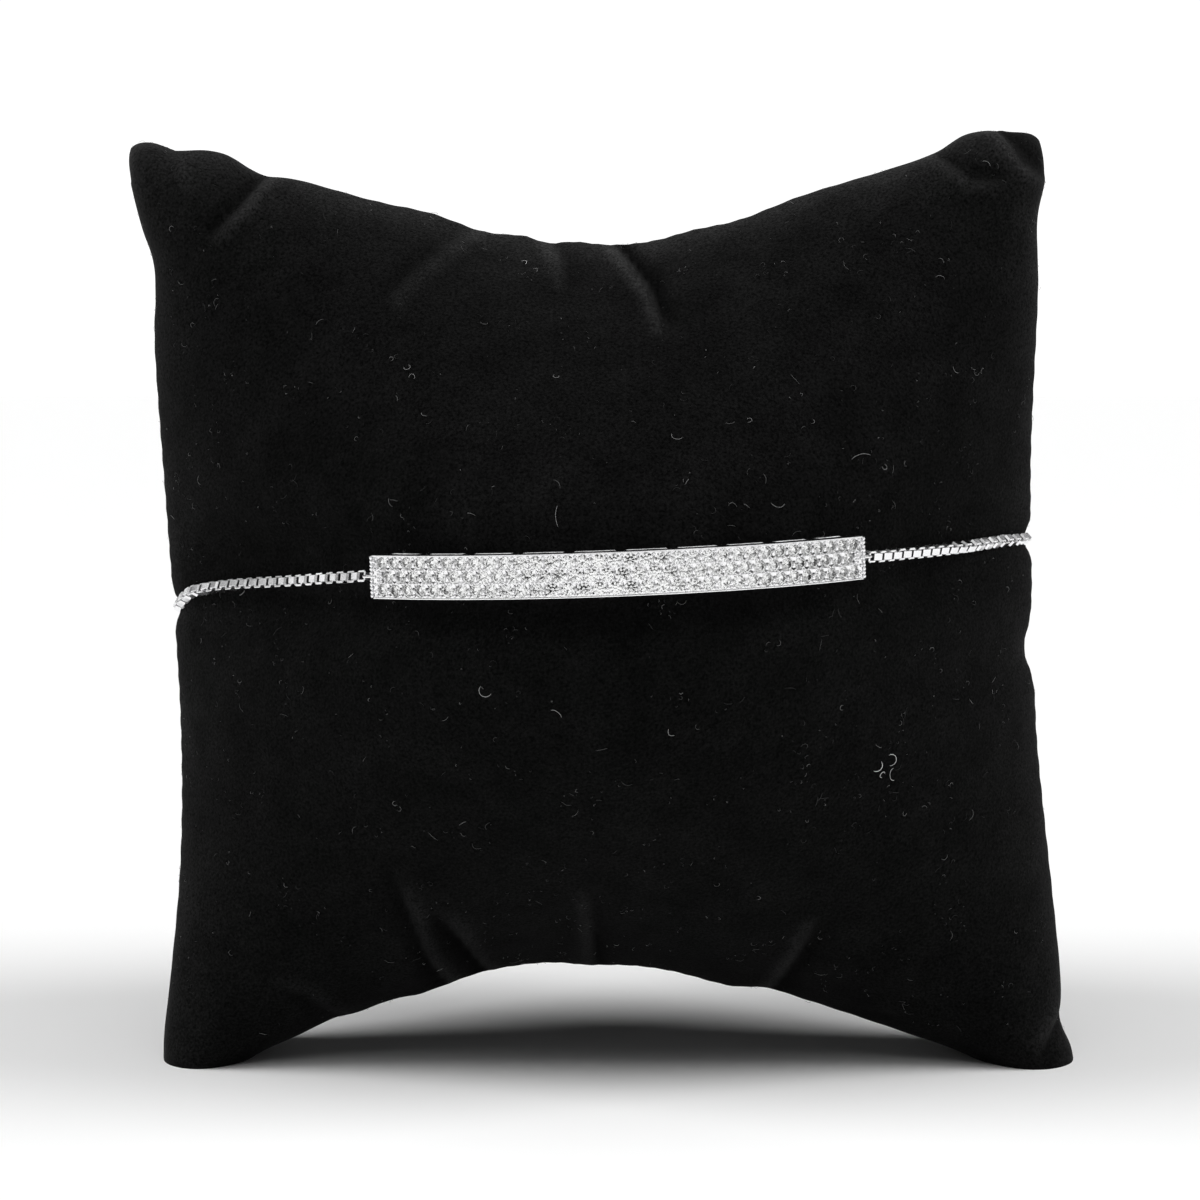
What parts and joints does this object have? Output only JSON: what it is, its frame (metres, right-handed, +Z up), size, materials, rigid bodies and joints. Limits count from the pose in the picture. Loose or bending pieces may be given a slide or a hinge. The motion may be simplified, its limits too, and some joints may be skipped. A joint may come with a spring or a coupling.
{
  "type": "bar bracelet on display pillow",
  "caption": "Curved pave bar bracelet on a fine box chain, worn round a small black velvet display pillow that stands on two corners.",
  "frame": {"origin": "on the surface that the pillow stands on, under the middle of the object's box", "axes": "+Z up, the pillow's front and the bar face -Y, +X to the right seen from the front"},
  "size_m": [0.077, 0.0541, 0.0759],
  "materials": {
    "velvet": "matte",
    "silver": "polished",
    "stone": "polished"
  },
  "bodies": {
    "root": {"display_pillow": "velvet", "bar_frame": "silver", "pave_stones": "stone", "chain_left": "silver", "chain_right": "silver", "clasp": "silver"}
  },
  "joints": []
}
